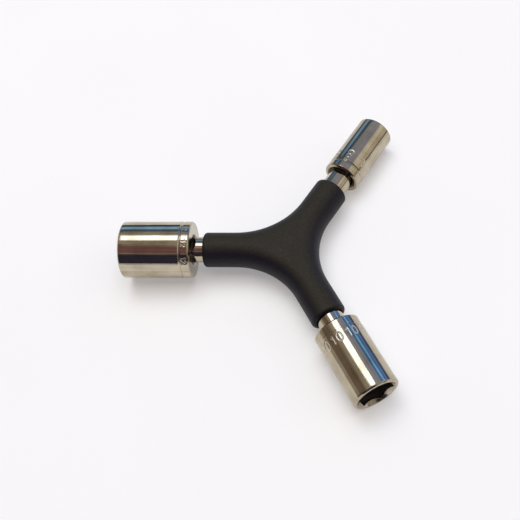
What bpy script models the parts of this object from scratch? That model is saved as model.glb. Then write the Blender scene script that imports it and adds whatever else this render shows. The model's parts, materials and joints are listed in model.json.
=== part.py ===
"""Y wrench with three push-on hexagon sockets, modelled at its real size.

Lengths are in metres and +Z is up. The wrench lies on its three sockets, and the
origin is the centre of its outline on the floor. Run it with
blender --background --python part.py, or from Blender's text editor.
"""
import math
from collections import namedtuple

import bmesh
import bpy
from mathutils import Matrix, Vector

# Sockets: the bolt's size across flats, and the wall outside the widest corner in each socket.
HEX_8 = 0.008
HEX_10 = 0.010
HEX_12 = 0.012
WALL_8 = 0.00133
WALL_10 = 0.00127
WALL_12 = 0.0019
HEX_PLAY = 0.0001
SOCKET_LENGTH = 0.0218
RELIEF_LENGTH = 0.0016
MOUTH_CHAMFER = 0.0004
REAR_CHAMFER = 0.0006
GROOVE_FROM_REAR = 0.0025
GROOVE_WIDTH = 0.0008
GROOVE_DEPTH = 0.00025
LEAD_SHARE = 0.22

# Drive: a square tang milled on the end of each round shank.
SHANK_DIAMETER = 0.008
DRIVE_SQUARE = 0.0063
DRIVE_PLAY = 0.00015
TANG_LENGTH = 0.0075
TANG_CHAMFER = 0.0005
HOLE_CHAMFER = 0.0003

# Shank left bare between the grip and each socket.
BARE_8 = 0.0056
BARE_10 = 0.0056
BARE_12 = 0.0036

# Detent: a sprung ball in the tang's upper flat, and a turned groove in the socket's square hole.
BALL_DIAMETER = 0.0024
BALL_PLAY = 0.00015
BALL_TRAVEL = 0.00045
BALL_FLUSH = 0.00003
LIP_DEPTH = 0.00015
DETENT_FLOOR = 0.0011
DETENT_GROOVE_DEPTH = 0.00065
DETENT_SHARE = 0.5
SPRING_WIRE = 0.00028
SPRING_PLAY = 0.0001

# Grip: one overmoulding round the welded shanks.
GRIP_WALL = 0.0012
GRIP_REACH = 0.026
GRIP_FILLET = 0.0225
GRIP_END_ROUND = 0.001
OVERMOULD_GAP = 0.0002

# Weld that joins the mitred shanks at the hub.
WELD_ROOT = 0.0010
WELD_CROWN = 0.0005

# Gap kept between pieces that touch, how far cutters run past, and how close points merge.
SEAT_GAP = 0.0003
OVERRUN = 0.002
SKIM = 0.00005
MERGE = 0.000001

# Counts.
ARM_COUNT = 3
SQUARE_SIDES = 4
HEXAGON_SIDES = 6
SOCKET_FACETS = 60
SHANK_FACETS = 48
CORE_FACETS = 36
HOLE_FACETS = 24
BALL_FACETS = 14
BALL_BANDS = 8
SPRING_TURNS = 3
SPRING_FACETS = 12
WIRE_RESOLUTION = 1
WELD_FACETS = 12
GRIP_LEVELS = 2
RING_CORNERS = 8
ROUND_STEPS = 4
SETTLING_STEPS = 8

# Angles in degrees.
HALF_MITRE = 60.0
FILLET_STEP = 15.0
SMOOTH_ANGLE = 32.0

Arm = namedtuple("Arm", "size heading roll across_flats wall bare")
ARMS = (
    Arm("12", 180.0, 0.0, HEX_12, WALL_12, BARE_12),
    Arm("8", 60.0, 0.0, HEX_8, WALL_8, BARE_8),
    Arm("10", -60.0, -10.0, HEX_10, WALL_10, BARE_10),
)

# Sizes that follow from the ones above.
SHANK_RADIUS = SHANK_DIAMETER / 2
BORE_RADIUS = SHANK_RADIUS + OVERMOULD_GAP
GRIP_RADIUS = BORE_RADIUS + GRIP_WALL
FLAT_HEIGHT = DRIVE_SQUARE / 2
DRIVE_HOLE_HALF = FLAT_HEIGHT + DRIVE_PLAY
DRIVE_HOLE_CORNER = DRIVE_HOLE_HALF * math.sqrt(2)
DRIVE_HOLE_DEPTH = TANG_LENGTH + SEAT_GAP
BALL_RADIUS = BALL_DIAMETER / 2
BALL_HEIGHT = FLAT_HEIGHT - BALL_FLUSH - BALL_RADIUS
BALL_HOLE_RADIUS = BALL_RADIUS + BALL_PLAY
SPRING_BOTTOM = DETENT_FLOOR - FLAT_HEIGHT + SPRING_PLAY
SPRING_TOP = BALL_HEIGHT - BALL_RADIUS - SPRING_PLAY
WELD_RADIUS = SHANK_RADIUS / math.sin(math.radians(HALF_MITRE)) + WELD_CROWN


def clear_scene():
    """Remove whatever the opened file holds."""
    for obj in list(bpy.data.objects):
        bpy.data.objects.remove(obj, do_unlink=True)


def new_collection(name):
    collection = bpy.data.collections.new(name)
    bpy.context.scene.collection.children.link(collection)
    return collection


def finish(name, colour, metallic, roughness):
    """A Principled material."""
    material = bpy.data.materials.new(name)
    material.use_nodes = True
    shader = material.node_tree.nodes["Principled BSDF"]
    shader.inputs["Base Color"].default_value = (*colour, 1.0)
    shader.inputs["Metallic"].default_value = metallic
    shader.inputs["Roughness"].default_value = roughness
    return material


def new_object(name, data, collection, material=None):
    obj = bpy.data.objects.new(name, data)
    collection.objects.link(obj)
    if material:
        obj.data.materials.append(material)
    if collection == cutters:
        obj.hide_render = True
        obj.display_type = "WIRE"
    return obj


def place(obj, parent, location=(0, 0, 0), turn=0.0, axis="Z"):
    """Hang an object on its parent, at a place and a turn in the parent's frame."""
    obj.parent = parent
    obj.matrix_local = Matrix.Translation(location) @ Matrix.Rotation(math.radians(turn), 4, axis)
    return obj


def empty(name, matrix, parent=None):
    obj = new_object(name, None, parts)
    obj.parent = parent
    obj.matrix_local = matrix
    return obj


def box(name, size, collection):
    mesh = bpy.data.meshes.new(name)
    shape = bmesh.new()
    bmesh.ops.create_cube(shape, size=size)
    shape.to_mesh(mesh)
    shape.free()
    return new_object(name, mesh, collection)


def turned(name, profile, facets, collection, material=None):
    """Turn a profile of (radius, height) pairs, given from top to bottom, about local Z."""
    mesh = bpy.data.meshes.new(name)
    points = [(radius, 0, height) for radius, height in profile]
    mesh.from_pydata(points, [(i, i + 1) for i in range(len(points) - 1)], [])
    obj = new_object(name, mesh, collection, material)
    screw = obj.modifiers.new("turn", "SCREW")
    screw.axis = "Z"
    screw.steps = screw.render_steps = facets
    screw.use_merge_vertices = True
    screw.merge_threshold = MERGE
    return obj


def prism(name, half_flats, top, bottom, sides, collection):
    """An even-sided bar about local Z, with a corner on local X."""
    corner = half_flats / math.cos(math.pi / sides)
    profile = [(0, top), (corner, top), (corner, bottom), (0, bottom)]
    return turned(name, profile, sides, collection)


def cut(obj, cutter, operation="DIFFERENCE"):
    boolean = obj.modifiers.new(cutter.name, "BOOLEAN")
    boolean.operation = operation
    boolean.solver = "EXACT"
    boolean.object = cutter


def arc(centre, radius, start, end, steps):
    """Points of an arc in the (radius, height) plane, from start to end degrees."""
    angles = [math.radians(start + (end - start) * i / steps) for i in range(steps + 1)]
    return [(centre[0] + radius * math.cos(a), centre[1] + radius * math.sin(a)) for a in angles]


def hexagon_half(arm):
    return (arm.across_flats + HEX_PLAY) / 2


def hexagon_corner(arm):
    return hexagon_half(arm) / math.cos(math.pi / HEXAGON_SIDES)


def widest_corner(arm):
    """Radius of the wider of the socket's two holes, at its corners."""
    return max(hexagon_corner(arm), DRIVE_HOLE_CORNER)


def socket_radius(arm):
    return widest_corner(arm) + arm.wall


def shoulder(arm):
    """Distance from the hub's centre to where the tang's flats begin."""
    return GRIP_REACH + arm.bare


def detent_station(arm):
    """Distance of the detent ball from the hub's centre, along the arm."""
    return shoulder(arm) + TANG_LENGTH * DETENT_SHARE


def make_shank(arm, frame, drive):
    """A round rod, mitred at the hub, whose outer end is milled to a square tang."""
    end = shoulder(arm) + TANG_LENGTH
    profile = [
        (0, end),
        (SHANK_RADIUS - TANG_CHAMFER, end),
        (SHANK_RADIUS, end - TANG_CHAMFER),
        (SHANK_RADIUS, 0),
        (0, 0),
    ]
    shank = place(turned("shank_" + arm.size, profile, SHANK_FACETS, parts, chrome), frame)
    cut_mitre(shank, arm, frame)

    # Milled flats, which run out of the round at 45 degrees.
    wide = SHANK_RADIUS + OVERRUN
    flats = [
        (0, end + OVERRUN),
        (FLAT_HEIGHT, end + OVERRUN),
        (FLAT_HEIGHT, shoulder(arm)),
        (wide, shoulder(arm) - (wide - FLAT_HEIGHT)),
        (wide, -OVERRUN),
        (0, -OVERRUN),
    ]
    square = [(radius * math.sqrt(2), height) for radius, height in flats]
    milled = turned("flats_" + arm.size, square, SQUARE_SIDES, cutters)
    cut(shank, place(milled, drive, turn=45.0), "INTERSECT")

    # Blind hole for the ball and its spring, with a lip that keeps the ball in.
    sunk = BALL_RADIUS - BALL_TRAVEL - BALL_FLUSH - LIP_DEPTH
    lip = math.sqrt(BALL_RADIUS ** 2 - sunk ** 2) + SKIM
    hole = [
        (0, FLAT_HEIGHT + OVERRUN),
        (lip, FLAT_HEIGHT + OVERRUN),
        (lip, FLAT_HEIGHT - LIP_DEPTH),
        (BALL_HOLE_RADIUS, FLAT_HEIGHT - LIP_DEPTH - (BALL_HOLE_RADIUS - lip)),
        (BALL_HOLE_RADIUS, DETENT_FLOOR - FLAT_HEIGHT),
        (0, DETENT_FLOOR - FLAT_HEIGHT),
    ]
    drill = turned("ball_hole_" + arm.size, hole, HOLE_FACETS, cutters)
    cut(shank, place(drill, drive, (0, 0, detent_station(arm)), 90.0, "Y"))
    return shank


def cut_mitre(shank, arm, frame):
    """Two slanting saw cuts, which leave room at the hub for the weld."""
    block = SHANK_DIAMETER * 2
    sunk = WELD_ROOT / 2 + SEAT_GAP - block / 2
    for side in (-1, 1):
        lean = side * (90.0 - HALF_MITRE)
        centre = Matrix.Rotation(math.radians(lean), 4, "X") @ Vector((0, 0, sunk))
        mitre = box("mitre_%s_%d" % (arm.size, side), block, cutters)
        cut(shank, place(mitre, frame, centre, lean, "X"))


def make_detent(arm, drive):
    """The ball, pressed in flush as it is while a socket slides over it, and its spring."""
    mesh = bpy.data.meshes.new("detent_ball_" + arm.size)
    shape = bmesh.new()
    bmesh.ops.create_uvsphere(shape, u_segments=BALL_FACETS, v_segments=BALL_BANDS, radius=BALL_RADIUS)
    shape.to_mesh(mesh)
    shape.free()
    ball = new_object(mesh.name, mesh, parts, bearing_steel)
    place(ball, drive, (BALL_HEIGHT, 0, detent_station(arm)), 90.0, "Y")

    coil = bpy.data.curves.new("detent_spring_" + arm.size, "CURVE")
    coil.dimensions = "3D"
    coil.bevel_depth = SPRING_WIRE / 2
    coil.bevel_resolution = WIRE_RESOLUTION
    coil.use_fill_caps = True
    radius = BALL_RADIUS - SPRING_WIRE / 2
    rise = SPRING_TOP - SPRING_BOTTOM - SPRING_WIRE
    count = SPRING_TURNS * SPRING_FACETS
    spline = coil.splines.new("POLY")
    spline.points.add(count)
    for i, point in enumerate(spline.points):
        angle = math.tau * i / SPRING_FACETS
        height = SPRING_BOTTOM + SPRING_WIRE / 2 + rise * i / count
        point.co = (radius * math.cos(angle), radius * math.sin(angle), height, 1)
    spring = new_object(coil.name, coil, parts, spring_steel)
    place(spring, drive, (0, 0, detent_station(arm)), 90.0, "Y")


def make_socket(arm, drive):
    """A socket: turned outside, hexagon broached from the mouth, square from the rear."""
    radius = socket_radius(arm)
    groove_end = GROOVE_FROM_REAR + GROOVE_WIDTH
    outside = [
        (0, SOCKET_LENGTH),
        (radius - MOUTH_CHAMFER, SOCKET_LENGTH),
        (radius, SOCKET_LENGTH - MOUTH_CHAMFER),
        (radius, groove_end),
        (radius - GROOVE_DEPTH, groove_end - GROOVE_DEPTH),
        (radius - GROOVE_DEPTH, GROOVE_FROM_REAR + GROOVE_DEPTH),
        (radius, GROOVE_FROM_REAR),
        (radius, REAR_CHAMFER),
        (radius - REAR_CHAMFER, 0),
        (0, 0),
    ]
    seat = (0, 0, shoulder(arm) + SEAT_GAP)
    socket = place(turned("socket_" + arm.size, outside, SOCKET_FACETS, parts, chrome), drive, seat)

    # Bored core: lead-in at the mouth, and relief between the two broached holes.
    drill = DRIVE_HOLE_HALF - DRIVE_PLAY
    lead = hexagon_corner(arm) + arm.wall * LEAD_SHARE
    relief = widest_corner(arm) + SKIM
    relief_end = DRIVE_HOLE_DEPTH + RELIEF_LENGTH
    core = [
        (0, SOCKET_LENGTH + OVERRUN),
        (lead + OVERRUN, SOCKET_LENGTH + OVERRUN),
        (drill, SOCKET_LENGTH - (lead - drill)),
        (drill, relief_end + (relief - drill)),
        (relief, relief_end),
        (relief, DRIVE_HOLE_DEPTH),
        (0, DRIVE_HOLE_DEPTH - relief / 2),
    ]
    cut(socket, place(turned("core_" + arm.size, core, CORE_FACETS, cutters), drive, seat))

    # The two broached holes meet in the relief.
    middle = DRIVE_HOLE_DEPTH + RELIEF_LENGTH / 2
    mouth = SOCKET_LENGTH + OVERRUN
    hexagon = prism("hexagon_" + arm.size, hexagon_half(arm), mouth, middle, HEXAGON_SIDES, cutters)
    cut(socket, place(hexagon, drive, seat, 30.0))
    square = prism("square_" + arm.size, DRIVE_HOLE_HALF, middle, -OVERRUN, SQUARE_SIDES, cutters)
    cut(socket, place(square, drive, seat, 45.0))

    # Chamfer of the drive hole, and the groove that the ball springs into.
    rear = [
        (0, HOLE_CHAMFER + DRIVE_HOLE_CORNER),
        (DRIVE_HOLE_CORNER + HOLE_CHAMFER + OVERRUN, -OVERRUN),
        (0, -OVERRUN),
    ]
    cut(socket, place(turned("rear_" + arm.size, rear, CORE_FACETS, cutters), drive, seat))
    station = detent_station(arm) - shoulder(arm) - SEAT_GAP
    groove_radius = DRIVE_HOLE_HALF + DETENT_GROOVE_DEPTH
    half_groove = BALL_RADIUS + BALL_PLAY
    groove = [
        (0, station + half_groove),
        (drill, station + half_groove),
        (groove_radius, station + half_groove / 2),
        (groove_radius, station - half_groove / 2),
        (drill, station - half_groove),
        (0, station - half_groove),
    ]
    cut(socket, place(turned("groove_" + arm.size, groove, CORE_FACETS, cutters), drive, seat))
    return socket


def make_weld(tool):
    """Weld metal along the three mitres: three webs that meet at the middle, with round outer edges."""
    inner = WELD_ROOT / 2 / math.sin(math.radians(HALF_MITRE))
    outline = []
    for index in range(ARM_COUNT):
        heading = math.tau * index / ARM_COUNT
        web = Matrix.Rotation(heading, 2)
        outline.append(web @ Vector((WELD_RADIUS + OVERRUN, -WELD_ROOT / 2)))
        outline.append(web @ Vector((WELD_RADIUS + OVERRUN, WELD_ROOT / 2)))
        outline.append(Matrix.Rotation(heading + math.pi / ARM_COUNT, 2) @ Vector((inner, 0)))
    half = SHANK_RADIUS + OVERRUN
    shape = bmesh.new()
    face = shape.faces.new([shape.verts.new((x, y, -half)) for x, y in outline])
    moved = bmesh.ops.extrude_face_region(shape, geom=[face])
    raised = [item for item in moved["geom"] if isinstance(item, bmesh.types.BMVert)]
    bmesh.ops.translate(shape, verts=raised, vec=(0, 0, 2 * half))
    bmesh.ops.recalc_face_normals(shape, faces=shape.faces)
    mesh = bpy.data.meshes.new("hub_weld")
    shape.to_mesh(mesh)
    shape.free()
    weld = place(new_object("hub_weld", mesh, parts, weld_steel), tool)
    quarter = arc((0, 0), 1, 90.0, -90.0, WELD_FACETS)
    bead = [(WELD_RADIUS * across, SHANK_RADIUS * up) for across, up in quarter]
    cut(weld, place(turned("weld_bead", bead, CORE_FACETS, cutters), tool), "INTERSECT")
    return weld


def grip_cage():
    """Coarse cage of the grip: rings of corners along each arm, joined round the hub.

    Subdivision draws a regular ring inside its corners by the factor
    (4 + 2 cos step) / 6, so each ring and each fillet is drawn larger by as much.
    """
    step = math.tau / RING_CORNERS
    half = RING_CORNERS // 2
    ring_radius = GRIP_RADIUS * 6 / (4 + 2 * math.cos(step))
    across = GRIP_FILLET + GRIP_RADIUS
    along = across / math.tan(math.radians(HALF_MITRE))
    away = across / math.sin(math.radians(HALF_MITRE))
    lean = math.radians(FILLET_STEP)
    fillet_swell = 6 / (4 + 2 * math.cos(lean))

    def corner(i):
        """Height and sideways place of a ring's corner, and the radius of the fillet there."""
        angle = (i + 0.5) * step
        width = ring_radius * math.sin(angle)
        return ring_radius * math.cos(angle), width, (across - abs(width)) * fillet_swell

    def ring(turn, station):
        """One ring across an arm at a station; without one, the first ring of the fillet."""
        verts = []
        for i in range(RING_CORNERS):
            level, width, fillet = corner(i)
            reach = station
            if station is None:
                reach = along - fillet * math.sin(lean)
                width = math.copysign(across - fillet * math.cos(lean), width)
            verts.append(cage.verts.new(turn @ Vector((reach, width, level))))
        return verts

    cage = bmesh.new()
    stations = (None, along, (along + GRIP_REACH) / 2, GRIP_REACH, GRIP_REACH + GRIP_RADIUS)
    arms = []
    crotches = []
    for index in range(ARM_COUNT):
        heading = math.pi - index * math.tau / ARM_COUNT
        rings = [ring(Matrix.Rotation(heading, 4, "Z"), station) for station in stations]
        for inner, outer in zip(rings, rings[1:]):
            for i in range(RING_CORNERS):
                j = (i + 1) % RING_CORNERS
                cage.faces.new((inner[i], inner[j], outer[j], outer[i]))
        cage.faces.new(rings[-1])
        arms.append(rings[0])
        bisector = Matrix.Rotation(heading + math.pi / ARM_COUNT, 4, "Z")
        column = []
        for level, width, fillet in map(corner, range(half)):
            column.append(cage.verts.new(bisector @ Vector((away - fillet, 0, level))))
        crotches.append(column)
    top = cage.verts.new((0, 0, corner(0)[0]))
    bottom = cage.verts.new((0, 0, -corner(0)[0]))
    for index, arm in enumerate(arms):
        left = crotches[index]
        right = crotches[(index + 1) % ARM_COUNT]
        for i in range(half - 1):
            cage.faces.new((arm[i], arm[i + 1], left[i + 1], left[i]))
            cage.faces.new((arm[-1 - i], arm[-2 - i], right[i + 1], right[i]))
        cage.faces.new((top, left[0], arm[0], arm[-1], right[0]))
        cage.faces.new((bottom, left[-1], arm[half - 1], arm[half], right[-1]))
    bmesh.ops.recalc_face_normals(cage, faces=cage.faces)
    mesh = bpy.data.meshes.new("grip")
    cage.to_mesh(mesh)
    cage.free()
    return mesh


def make_grip(tool, frames):
    """The moulded Y: three round arms that flow into the hub, bored for the shanks."""
    grip = place(new_object("grip", grip_cage(), parts, black_polymer), tool)
    smooth = grip.modifiers.new("smooth", "SUBSURF")
    smooth.levels = smooth.render_levels = GRIP_LEVELS
    pocket_radius = WELD_RADIUS + SEAT_GAP
    pocket_height = BORE_RADIUS + SKIM
    pocket = [
        (0, pocket_height),
        (pocket_radius, pocket_height),
        (pocket_radius, -pocket_height),
        (0, -pocket_height),
    ]
    cut(grip, place(turned("weld_pocket", pocket, SHANK_FACETS, cutters), tool))

    # Each arm is trimmed to length with a rounded end, and bored for its shank.
    outer = GRIP_RADIUS + OVERRUN
    past_end = GRIP_REACH + GRIP_RADIUS + OVERRUN
    round_start = GRIP_REACH - GRIP_END_ROUND
    round_centre = (GRIP_RADIUS + SKIM - GRIP_END_ROUND, round_start)
    trim = [(0, past_end), (outer, past_end), (outer, round_start)]
    trim += arc(round_centre, GRIP_END_ROUND, 0.0, 90.0, ROUND_STEPS)
    trim += [(BORE_RADIUS, GRIP_REACH), (BORE_RADIUS, 0), (0, 0)]
    for arm, frame in frames:
        cut(grip, place(turned("trim_" + arm.size, trim, SHANK_FACETS, cutters), frame))
    return grip


def arm_matrix(heading):
    """Frame of an arm: Z runs out along it, X is up."""
    angle = math.radians(heading)
    up = Vector((0, 0, 1))
    across = Vector((math.sin(angle), -math.cos(angle), 0))
    out = Vector((math.cos(angle), math.sin(angle), 0))
    return Matrix((up, across, out)).transposed().to_4x4()


def resting_turn():
    """Turn that lays the three sockets on a floor, found in a few steps.

    Each socket touches at its rear rim or at its mouth rim, whichever is lower.
    """
    up = Vector((0, 0, 1))
    for _ in range(SETTLING_STEPS):
        touches = []
        for arm in ARMS:
            out = arm_matrix(arm.heading).to_3x3() @ Vector((0, 0, 1))
            down = (out * up.dot(out) - up).normalized() * socket_radius(arm)
            rear = shoulder(arm) + SEAT_GAP
            rims = (rear + REAR_CHAMFER, rear + SOCKET_LENGTH - MOUTH_CHAMFER)
            touches.append(min((out * rim + down for rim in rims), key=up.dot))
        up = (touches[2] - touches[0]).cross(touches[1] - touches[0]).normalized()
    return up.rotation_difference(Vector((0, 0, 1))).to_matrix().to_4x4()


def bake(obj):
    """Make the cut shape the object's own mesh, smooth where it is round."""
    shape = obj.evaluated_get(bpy.context.evaluated_depsgraph_get())
    mesh = bpy.data.meshes.new_from_object(shape)
    mesh.name = obj.name
    obj.modifiers.clear()
    obj.data = mesh
    mesh.shade_smooth()
    mesh.set_sharp_from_angle(angle=math.radians(SMOOTH_ANGLE))


def set_on_floor(pose):
    """Move the wrench so that the origin is under the middle of its outline, on the floor."""
    bpy.context.view_layer.update()
    meshes = [obj for obj in parts.objects if obj.type == "MESH"]
    points = [obj.matrix_world @ vertex.co for obj in meshes for vertex in obj.data.vertices]
    low = [min(point[i] for point in points) for i in range(3)]
    high = [max(point[i] for point in points) for i in range(3)]
    shift = Vector((-(low[0] + high[0]) / 2, -(low[1] + high[1]) / 2, -low[2]))
    pose.matrix_world = Matrix.Translation(shift) @ pose.matrix_world


clear_scene()
parts = new_collection("y_wrench")
cutters = new_collection("cutters")
chrome = finish("polished_chrome_plate", (0.80, 0.79, 0.76), 1.0, 0.09)
black_polymer = finish("black_moulded_polymer", (0.012, 0.012, 0.011), 0.0, 0.42)
bearing_steel = finish("bearing_steel", (0.62, 0.62, 0.63), 1.0, 0.12)
spring_steel = finish("spring_steel", (0.42, 0.42, 0.44), 1.0, 0.3)
weld_steel = finish("weld_steel", (0.30, 0.28, 0.26), 1.0, 0.55)

resting = empty("resting_pose", resting_turn())
arm_frames = []
for arm in ARMS:
    frame = empty("arm_" + arm.size, arm_matrix(arm.heading), resting)
    drive = empty("drive_" + arm.size, Matrix.Rotation(math.radians(arm.roll), 4, "Z"), frame)
    make_shank(arm, frame, drive)
    make_detent(arm, drive)
    make_socket(arm, drive)
    arm_frames.append((arm, frame))
make_weld(resting)
make_grip(resting, arm_frames)

bpy.context.view_layer.update()
for obj in parts.objects:
    if obj.type == "MESH":
        bake(obj)
set_on_floor(resting)
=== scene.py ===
"""Looks of the Y wrench with three sockets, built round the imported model.

Lengths are in metres and +Z is up. A place along an arm is measured from the hub's centre.
Each arm has a frame of its own: "out" along the arm, "up" through the detent ball, and
"side" square to both.
"""
import json
import math
import bmesh
import bpy
import numpy as np
from bpy.props import (
    FloatProperty, FloatVectorProperty, IntProperty, IntVectorProperty, PointerProperty,
)
from mathutils import Euler, Matrix


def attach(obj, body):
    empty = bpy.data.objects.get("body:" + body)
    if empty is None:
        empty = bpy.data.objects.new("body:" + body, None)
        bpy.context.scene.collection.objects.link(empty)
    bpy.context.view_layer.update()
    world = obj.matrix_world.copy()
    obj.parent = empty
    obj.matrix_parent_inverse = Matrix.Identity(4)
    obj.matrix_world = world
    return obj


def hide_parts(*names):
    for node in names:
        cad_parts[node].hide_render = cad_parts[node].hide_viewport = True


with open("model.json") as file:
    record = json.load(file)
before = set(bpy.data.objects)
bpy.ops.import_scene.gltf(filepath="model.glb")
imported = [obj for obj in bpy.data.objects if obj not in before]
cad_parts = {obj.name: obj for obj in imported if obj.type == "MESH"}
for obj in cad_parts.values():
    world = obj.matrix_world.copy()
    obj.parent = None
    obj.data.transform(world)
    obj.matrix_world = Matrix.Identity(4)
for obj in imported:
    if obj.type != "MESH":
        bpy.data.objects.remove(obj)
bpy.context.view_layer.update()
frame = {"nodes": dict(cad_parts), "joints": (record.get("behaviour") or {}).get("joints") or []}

bl_info = {
    "name": "Y Wrench",
    "version": (1, 0, 0),
    "blender": (4, 5, 0),
    "location": "3D View > Sidebar > Y Wrench",
    "description": "Builds the visible surfaces, finishes and studio of a three-socket Y wrench",
    "category": "Add Mesh",
}

SIZES = ("8", "10", "12")

# The frame measures the sockets and shanks. These are the sizes inside them.
MM = 0.001
HEX_PLAY = 0.1 * MM
SQUARE_HALF = 3.3 * MM
TANG_HALF = 3.15 * MM
SEAT_GAP = 0.3 * MM
SQUARE_DEPTH = 7.8 * MM
RELIEF_END = 9.4 * MM
RELIEF_STEP = 0.05 * MM
REAR_CHAMFER = 0.35 * MM
MOUTH_CHAMFER = 0.4 * MM
GROOVE_START = 2.5 * MM
GROOVE_WIDTH = 0.8 * MM
HOLE_CHAMFER = 0.3 * MM
LEAD_SHARE = 0.22
DETENT_FROM_REAR = 3.45 * MM
DETENT_HALF = 1.35 * MM
DETENT_DEPTH = 0.65 * MM
TANG_CHAMFER = 0.5 * MM
MITRE_GAP = 0.8 * MM
HALF_MITRE = math.radians(60.0)
BALL_SEAT = 1.35 * MM
BALL_LIP = 1.106 * MM
BALL_FLOOR = -2.05 * MM
LIP_DEPTH = 0.15 * MM
SPRING_WIRE = 0.28 * MM
SPRING_PLAY = 0.1 * MM
COLLAR_STEP = 0.04 * MM

# Points closer than this are merged.
MERGE_DISTANCE = 0.0005 * MM
# Radius of the disc on a tang's flat whose points are drawn into the ball's hole.
DETENT_REACH = 1.75 * MM
# A socket's hole is fully dull, and fully painted in shade, from this far inside its mouth.
DULL_AND_SHADED_FROM_MOUTH = 2.5 * MM
# A socket's point belongs to the hole if it lies less than the first of these outside the
# hole's widest cut, and further than the second from both ends. It belongs to a stamped
# stroke if it lies deeper than the third.
HOLE_MARGIN = 0.35 * MM
END_MARGIN = 0.05 * MM
STROKE_MARGIN = 0.025 * MM
# Angles in degrees over which an edge is shaded sharp.
SHARP = {"grip": 40.0, "socket": 28.0, "shank": 35.0, "detent": 60.0}

# Depths of the textures that have no setting in the sidebar.
TURNING_DEPTH = 0.0004 * MM
PEEL_DEPTH = 0.0008 * MM
FLOW_DEPTH = 0.06 * MM
RIPPLE_DEPTH = 0.06 * MM

# The lamp that lights the matt surfaces: where it hangs from the hub, how far, and its sides.
FILL_DIRECTION = (-0.05, 0.2, 0.98)
FILL_DISTANCE = 2.0
FILL_SIZE = (2.0, 2.0)

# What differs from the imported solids: how much nearer to the hub each drive end is, how much
# further out the grip ends on each arm, and how deep each turned groove is.
DRIVE_END_AHEAD = {"8": 0.25 * MM, "10": 1.1 * MM, "12": 0.45 * MM}
GRIP_AHEAD = {"8": 0.0, "10": 0.85 * MM, "12": 0.0}
GROOVE_DEPTH = {"8": 0.22 * MM, "10": 0.06 * MM, "12": 0.25 * MM}


def bow(middle, reach, start, end, count):
    """Points along an ellipse: its middle plus its reach times the cosine and the sine."""
    turn = np.linspace(start, end, count)
    return np.asarray(middle) + np.stack([np.cos(turn), np.sin(turn)], -1) * reach


# Numerals as strokes in a box one high, with 0 at the foot. Each row is a point, and a whole
# turn of an ellipse has 25.
WHOLE = (0.0, 2.0 * np.pi, 25)
NUMERAL_STROKES = {
    "0": [bow((0.29, 0.5), (0.27, 0.5), *WHOLE)],
    "1": [np.array([[0.1, 0.76], [0.34, 1.0], [0.34, 0.0]])],
    "2": [np.concatenate([
        bow((0.29, 0.72), (0.27, 0.28), 2.9, -0.75, 14), [[0.0, 0.0], [0.58, 0.0]],
    ])],
    "8": [bow((0.29, 0.77), (0.23, 0.23), *WHOLE), bow((0.29, 0.27), (0.28, 0.27), *WHOLE)],
}
NUMERAL_WIDTH = 0.58
NUMERAL_STEP = 0.8

# What stands round the studio, from the back to the front of the pile: what it is, its middle
# heading in degrees from +X, its half width, its lowest and highest elevation, how far its
# edges fade, and its colour.
SURROUNDINGS = (
    ("cool end of the ceiling", 58, 38, 43, 90, 7, "#7F8395"),
    ("brown cupboards", -172, 40, 16, 52, 8, "#62574F"),
    ("pale wall", 8, 26, 6, 32, 6, "#A8A197"),
    ("lit top of the pale wall", 10, 24, 29, 45, 5, "#BDB9B2"),
    ("skirting board", 8, 30, -5, 6, 3, "#403A2F"),
    ("dark end of the room", -108, 52, -5, 40, 6, "#2A2837"),
    ("red curtain", -106, 46, 42, 71, 10, "#64494C"),
    ("window frame", 110, 14, -5, 42, 6, "#3A4F6A"),
    ("window", 102, 8, 13, 28, 4, "#84A5CF"),
    ("window sill", 102, 6, -5, 11, 3, "#223A55"),
    ("blue blind", 54, 12, 3, 45, 6, "#446BA7"),
    ("lit slats of the blind", 52, 12, 14, 20, 3, "#6683C2"),
    ("shaded foot of the blind", 54, 12, 3, 11, 4, "#314B78"),
    ("shaded slats of the blind", 54, 12, 22, 28, 3, "#355B9A"),
    ("sky over the blind", 54, 12, 29, 36, 3, "#7CB6FA"),
)
CEILING = "#878177"
WALLS = "#8D857C"


def corners_of(mesh):
    """Corners of a mesh as rows."""
    points = np.empty(len(mesh.vertices) * 3, np.float32)
    mesh.vertices.foreach_get("co", points)
    return points.reshape(-1, 3).astype(float)


def shown(name, data):
    """A new object in the scene."""
    thing = bpy.data.objects.new(name, data)
    bpy.context.scene.collection.objects.link(thing)
    return thing


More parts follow.
